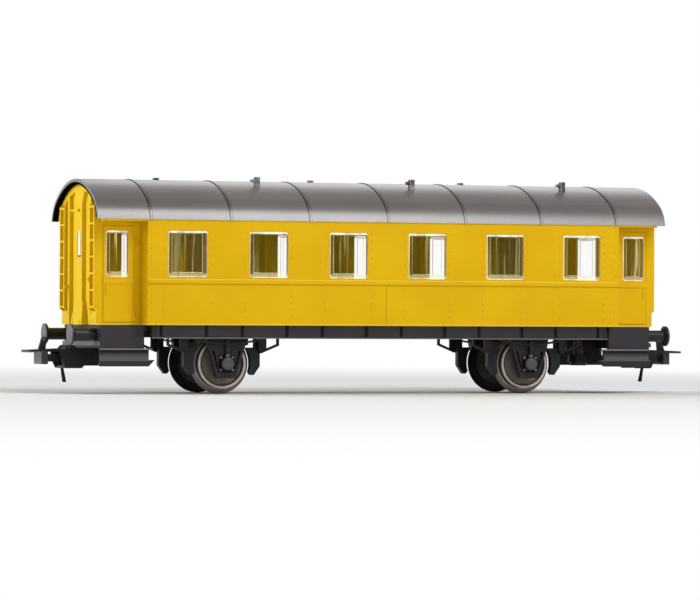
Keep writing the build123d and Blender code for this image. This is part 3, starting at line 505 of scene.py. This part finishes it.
def cell_path(width, height, corner, border, steps=5):
    """Rectangle that lies outside the rounded one by border (left, right, low, high), point for point.

    Each point is pushed out from the middle of its corner until it meets the larger rectangle."""
    left, right, low, high = border
    turn = corner_turns(steps)
    push = np.maximum(abs(np.cos(turn)), abs(np.sin(turn)))
    across = np.repeat([1, -1, -1, 1], steps) * (width / 2 - corner)
    up = np.repeat([1, 1, -1, -1], steps) * (height / 2 - corner)
    across = across + (corner + np.repeat([right, left, left, right], steps)) * np.cos(turn) / push
    up = up + (corner + np.repeat([high, high, low, low], steps)) * np.sin(turn) / push
    return np.stack([across, up], -1)


def plate(origin, across, outward, paths, depths, finishes, caps=(0, 0)):
    """Closed plate through one path at each depth, capped at both ends.

    A point is origin + across * u + up * v - outward * depth, with u and v from the path."""
    origin, across, outward = (np.array(v, float) for v in (origin, across, outward))
    up = np.array([0.0, 0.0, 1.0])
    rings = [origin + p[:, :1] * across + p[:, 1:] * up - outward * d for p, d in zip(paths, depths)]
    count = len(rings[0])
    last = count * (len(rings) - 1)
    faces = [*around(len(rings), count), np.arange(count)[::-1], np.arange(count) + last]
    return np.concatenate(rings), faces, [*np.repeat(finishes, count).tolist(), *caps]


# Finishes of a pane, by their place in the list of clear mouldings
CLEAR, BORDER, EDGE, LINE, MILKY, STREAKED, GLINTING = range(7)


def light(origin, across, outward, size, border, depth, scale=1.0, middle=STREAKED):
    """Clear cell: a flat backing at that depth with a raised light that has an edge, a border and a step.

    Edge and line are margins (left, right, low, high) of the light's edge and of the step within it."""
    width, height = size
    edge = np.array([0.12, 0.08, 0.18, 0.4]) * scale
    line = np.array([0.74, 1.02, 0.96, 0.46]) * scale
    bevel, step_width, step_depth = 0.07, 0.1 * scale, 0.05
    margins = (0.0, 0.0, bevel * scale, edge, line, line + step_width)
    paths = [rounded_path(width, height, WINDOW_CORNER, np.broadcast_to(m, 4)) for m in margins]
    cell = cell_path(width, height, WINDOW_CORNER, border)
    depths = (depth + GLAZING, depth, depth, bevel, 0.0, 0.0, 0.0, step_depth)
    finishes = (CLEAR, CLEAR, CLEAR, EDGE, EDGE, BORDER, LINE)
    return plate(origin, across, outward, [cell, cell, *paths], depths, finishes, (CLEAR, middle))


def join(plates, welded=False):
    """One set of points, faces and finishes from several plates.

    Welded plates share the points where they meet, and the walls between them are left out."""
    points, faces, finish_of, base = [], [], [], 0
    for plate_points, plate_faces, plate_finish in plates:
        points.append(plate_points)
        faces += [f + base for f in plate_faces]
        finish_of += plate_finish
        base += len(plate_points)
    points = np.concatenate(points)
    if welded:
        rounded = np.round(points, 5)
        points, shared = np.unique(rounded, axis=0, return_inverse=True)
        faces = [shared.ravel()[f] for f in faces]
        keys = [tuple(sorted(f.tolist())) for f in faces]
        single = [keys.count(key) == 1 for key in keys]
        faces = [f for f, kept in zip(faces, single) if kept]
        finish_of = [f for f, kept in zip(finish_of, single) if kept]
    return points, faces, finish_of


# Glazing: a moulded strip with a raised light in each window
def pane_size(width, levels):
    """Width and height of the light in a window of that width between two levels."""
    return width - 2 * PANE_GAP, levels[1] - levels[0] - 2 * PANE_GAP


def side_lights(side):
    """Six lights of one side, joined edge to edge into one strip that ends beyond the outer windows."""
    size = pane_size(WINDOW_WIDTH, WINDOW_Z)
    depth = SIDE_Y - PANE_RECESS - SIDE_INNER_Y + PANE_GAP
    between, lap = (WINDOW_PITCH - size[0]) / 2, GLAZING_LAP + PANE_GAP
    plates = []
    for x in WINDOW_X:
        toward_a = lap if x == WINDOW_X[0] else between
        toward_b = lap if x == WINDOW_X[-1] else between
        ends = (toward_b, toward_a) if side > 0 else (toward_a, toward_b)
        place = (x, side * (SIDE_Y - PANE_RECESS), sum(WINDOW_Z) / 2)
        plates.append(light(place, (-side, 0, 0), (0, side, 0), size, (*ends, lap, lap), depth))
    return join(plates, welded=True)


def vestibule_lights(end):
    """Two door lights and the end light of one end, each on its own backing plate."""
    plates = []
    size, lap = pane_size(DOOR_WINDOW_WIDTH, WINDOW_Z), GLAZING_LAP + PANE_GAP
    outer = END_INNER_X - PANE_GAP - DOOR_WINDOW_X - size[0] / 2
    depth = DOOR_FACE_Y - PANE_RECESS - DOOR_INNER_Y + PANE_GAP
    for side in (-1, 1):
        ends = (lap, outer) if end * side < 0 else (outer, lap)
        place = (end * DOOR_WINDOW_X, side * (DOOR_FACE_Y - PANE_RECESS), sum(WINDOW_Z) / 2)
        border = (*ends, lap, lap)
        plates.append(light(place, (-side, 0, 0), (0, side, 0), size, border, depth, middle=GLINTING))
    size = pane_size(END_WINDOW_WIDTH, END_WINDOW_Z)
    depth = END_DOOR_X - PANE_RECESS - END_INNER_X + PANE_GAP
    place = (end * (END_DOOR_X - PANE_RECESS), 0, sum(END_WINDOW_Z) / 2)
    border = (lap, lap, lap, lap)
    plates.append(light(place, (0, end, 0), (end, 0, 0), size, border, depth, scale=0.5, middle=MILKY))
    return join(plates)


# Door hinges: two thin straps at each hinge
def door_hinges(end):
    """Straps of the hinges of both doors at one end: rounded rectangles with a bevelled face."""
    paths = [rounded_path(*STRAP_SIZE, STRAP_CORNER, np.full(4, m)) for m in (0.0, 0.0, STRAP_BEVEL)]
    depths = (STRAP_DEPTH, STRAP_BEVEL, 0.0)
    plates = []
    for side in (-1, 1):
        for z in HINGE_Z:
            for shift in (-STRAP_SHIFT, STRAP_SHIFT):
                place = (end * HINGE_X, side * (DOOR_FACE_Y + STRAP_PROUD), z + shift)
                plates.append(plate(place, (-side, 0, 0), (0, side, 0), paths, depths, (0, 0)))
    return join(plates)


# Rivets and knobs: low domes on a wall
def domes(centres, outward, radius, height, turns=8, rings=3):
    """Low domes: at a polar angle p, radius * sin(p) sideways along a turn and height * cos(p) outwards."""
    outward = np.array(outward, float)
    across = np.cross([0.0, 0.0, 1.0], outward)
    turn = np.arange(turns) * 2 * pi / turns
    polar = np.linspace(pi / 2, pi / 2 / rings, rings)[:, None, None]
    sideways = np.cos(turn)[:, None] * across + np.sin(turn)[:, None] * np.array([0.0, 0.0, 1.0])
    ring = radius * np.sin(polar) * sideways + height * np.cos(polar) * outward
    one = np.concatenate([ring.reshape(-1, 3), [height * outward]])
    last = turns * (rings - 1) + np.arange(turns)
    caps = np.stack([last, np.roll(last, -1), np.full(turns, turns * rings)], -1)
    shift = np.arange(len(centres))[:, None, None] * len(one)
    points = (np.asarray(centres)[:, None, :] + one).reshape(-1, 3)
    parts = (around(rings, turns), caps, np.arange(turns)[::-1][None, :])
    return points, [row for part in parts for row in (shift + part).reshape(-1, part.shape[-1])]


def rivet_places():
    """Rivet middles in X and Z on one side: columns beside the windows and at both ends of the side.

    A row set gives the lowest and the highest level and the number of levels."""
    half = WINDOW_WIDTH / 2 + RIVET_OFF_WINDOW
    columns = np.concatenate([WINDOW_X - half, WINDOW_X + half, [-RIVET_END_X, RIVET_END_X]])
    levels = np.concatenate([np.linspace(*row) for row in RIVET_ROWS])
    return np.stack(np.meshgrid(columns, levels, indexing="ij"), -1).reshape(-1, 2)


# Pieces and finishes
yellow = yellow_moulding()
rivet = rivet_moulding()
# Painted light: the border, edge and end mouldings are pale and glow faintly.
glass = [
    clear_moulding("clear_middle", linear(84, 76, 20), 0.012, 0.06),
    clear_moulding("clear_border", linear(252, 242, 170), 0.03, 0.1, 0.4, sill=0.28),
    clear_moulding("clear_edge", linear(255, 250, 226), 0.8, 0.12, 0.3),
    clear_moulding("clear_step", linear(222, 212, 150), 0.9, 0.2),
    clear_moulding("clear_end", linear(255, 252, 236), 0.65, 0.1, 0.15),
    # Painted reflections: the streaked and glinting mouldings carry pale glints that glow.
    clear_moulding("clear_streaked", linear(84, 76, 20), 0.012, 0.06, 0.8, 0.1),
    clear_moulding("clear_glinting", linear(84, 76, 20), 0.012, 0.06, 0.8, 0.42, 1700),
]
by_slot = {
    "body_plastic": yellow,
    "roof_plastic": roof_moulding(),
    "vent_plastic": vent_moulding(),
    "frame_plastic": frame_moulding(),
    "buffer_plastic": buffer_moulding(),
    "coupling_plastic": coupling_moulding(),
    "disc_plastic": disc_finish(),
    "wheel_steel": turned_steel(),
    "pin_steel": plain_steel("pin_steel", linear(58, 56, 55), linear(84, 82, 80)),
    "ballast_steel": plain_steel("ballast_steel", linear(96, 92, 86), linear(130, 126, 118)),
    "clear_plastic": glass[CLEAR],
}
for part in frame["record"]["subparts"]:
    mesh = nodes[part["node"]].data
    mesh.materials.clear()
    mesh.materials.append(by_slot[part["material_slot"]])

places = rivet_places()
for side, name in ((1, "left"), (-1, "right")):
    points, faces, finish_of = side_lights(side)
    lights = put(f"window_lights_{name}", points, faces, glass, "coach",
                 finish_of=finish_of)
    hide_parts(f"side_glazing_{name}")
    wall = np.full(len(places), side * (SIDE_Y - RIVET_SINK))
    centres = np.stack([places[:, 0], wall, places[:, 1]], -1)
    points, faces = domes(centres, (0, side, 0), RIVET_RADIUS, RIVET_HEIGHT)
    put(f"rivets_{name}", points, faces, [rivet], "coach", smooth=True)

for end, name in ((-1, "a"), (1, "b")):
    points, faces, finish_of = vestibule_lights(end)
    lights = put(f"door_lights_{name}", points, faces, glass, "coach",
                 finish_of=finish_of)
    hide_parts(f"vestibule_glazing_{name}")
    points, faces, _ = door_hinges(end)
    put(f"door_hinges_{name}", points, faces, [yellow], "coach")
    centres = [(end * (LADDER_X - KNOB_SINK), end * LADDER_Y, KNOB_Z)]
    points, faces = domes(centres, (end, 0, 0), KNOB_RADIUS, KNOB_HEIGHT, turns=12, rings=5)
    put(f"ladder_knob_{name}", points, faces, [yellow], "coach", smooth=True)


# Stage, light and camera
def pale_floor():
    """White floor that keeps shadows near the coach and fades to plain white further off."""
    material, start, place = new_tree("pale_floor")
    flat = start.add("VectorMath", {"operation": "MULTIPLY"}, {0: place, 1: (1.0, 1.0, 0.0)})
    away = start.add("VectorMath", {"operation": "LENGTH"}, {0: flat}, "Value").rise(0.1, 0.45)
    matt = start.add("BsdfDiffuse", {}, {"Color": (0.86, 0.86, 0.86, 1.0)})
    plain = start.add("Emission", {}, {"Color": WHITE, "Strength": 1.0})
    skin = start.add("MixShader", {}, {0: away, 1: matt, 2: plain})
    start.add("OutputMaterial", {}, {"Surface": skin})
    return material


def floor_disc(radius=4.0, rings=12, turns=64):
    """Flat disc: rings whose radius grows with the square of their number."""
    turn = np.arange(turns) * 2 * pi / turns
    reach = radius * (np.arange(1, rings + 1) / rings) ** 2
    level = np.zeros((rings, turns))
    points = np.stack([np.outer(reach, np.cos(turn)), np.outer(reach, np.sin(turn)), level], -1)
    mesh = bpy.data.meshes.new("floor")
    faces = [*around(rings, turns)[:, ::-1].tolist(), list(range(turns))]
    mesh.from_pydata(points.reshape(-1, 3).tolist(), [], faces)
    mesh.materials.append(pale_floor())
    floor = bpy.data.objects.new("floor", mesh)
    bpy.context.scene.collection.objects.link(floor)


def studio_world():
    """White to the camera and through glass, and soft grey as light.

    Gloss shows it pale behind the coach, and dark in front and overhead. The direction is in thousandths."""
    world = bpy.data.worlds.new("studio")
    bpy.context.scene.world = world
    world.use_nodes = True
    world.node_tree.nodes.clear()
    start = Wire(world.node_tree)
    path = start.add("LightPath", output="Is Camera Ray")
    ray = path.socket.node.outputs
    seen = path | Wire(world.node_tree, ray["Is Transmission Ray"])
    gloss = Wire(world.node_tree, ray["Is Glossy Ray"])
    toward = start.add("TexCoord", output=0)
    bright = toward.along("Y").rise(-200, 500) * toward.along("Z").rise(950, 450)
    mirrored = bright.tint((0.12, 0.12, 0.12, 1.0), (0.75, 0.75, 0.75, 1.0))
    colour = seen.tint(gloss.tint((0.28, 0.28, 0.28, 1.0), mirrored), WHITE)
    sky = start.add("Background", {}, {"Color": colour, "Strength": 1.0})
    start.add("OutputWorld", {}, {"Surface": sky})


def softbox(name, place, aim, size, power, mirrored=True):
    """Flat lamp at a place, turned towards the aim, all in metres; gloss shows it if it is mirrored."""
    lamp = bpy.data.lights.new(name, "AREA")
    lamp.shape = "RECTANGLE"
    lamp.size, lamp.size_y = size
    lamp.energy = power
    box = bpy.data.objects.new(name, lamp)
    box.rotation_euler = (Vector(place) - Vector(aim)).to_track_quat("Z", "Y").to_euler()
    box.location = place
    box.visible_glossy = mirrored
    bpy.context.scene.collection.objects.link(box)


def photo_camera():
    """Long lens on the coach's right side, a little towards end a, at the height of its windows."""
    yaw, pitch, roll = radians(19.89), radians(-0.166), radians(0.304)
    aim, distance = np.array([-2.316, 0.0, 20.514]), 892.9
    ahead = np.array([sin(yaw) * cos(pitch), cos(yaw) * cos(pitch), -sin(pitch)])
    right = np.array([cos(yaw), -sin(yaw), 0.0])
    up = np.cross(right, ahead)
    across, upright = cos(roll) * right + sin(roll) * up, cos(roll) * up - sin(roll) * right
    axes = np.stack([across, upright, -ahead], 1)
    stand = (aim - distance * ahead) * MM
    lens = bpy.data.cameras.new("camera")
    lens.sensor_width, lens.sensor_fit, lens.lens = 36.0, "HORIZONTAL", 207.74
    lens.clip_end = 20.0
    camera = bpy.data.objects.new("camera", lens)
    camera.matrix_world = Matrix.Translation(stand.tolist()) @ Matrix(axes.tolist()).to_4x4()
    bpy.context.scene.collection.objects.link(camera)
    bpy.context.scene.camera = camera


floor_disc()
studio_world()
softbox("front_box", (0.26, -0.64, 0.66), (0.0, 0.0, 0.03), (0.24, 0.6), 5.0)
softbox("low_box", (0.0, -1.0, 0.12), (0.0, 0.0, 0.025), (0.3, 0.2), 1.9, False)
softbox("end_box", (-0.85, 0.3, 0.32), (-0.06, 0.0, 0.03), (0.5, 0.5), 7.2, False)
softbox("far_box", (0.5, 0.85, 0.5), (0.0, 0.0, 0.02), (0.6, 0.4), 0.9)
photo_camera()
bpy.context.scene.view_settings.view_transform = "Standard"
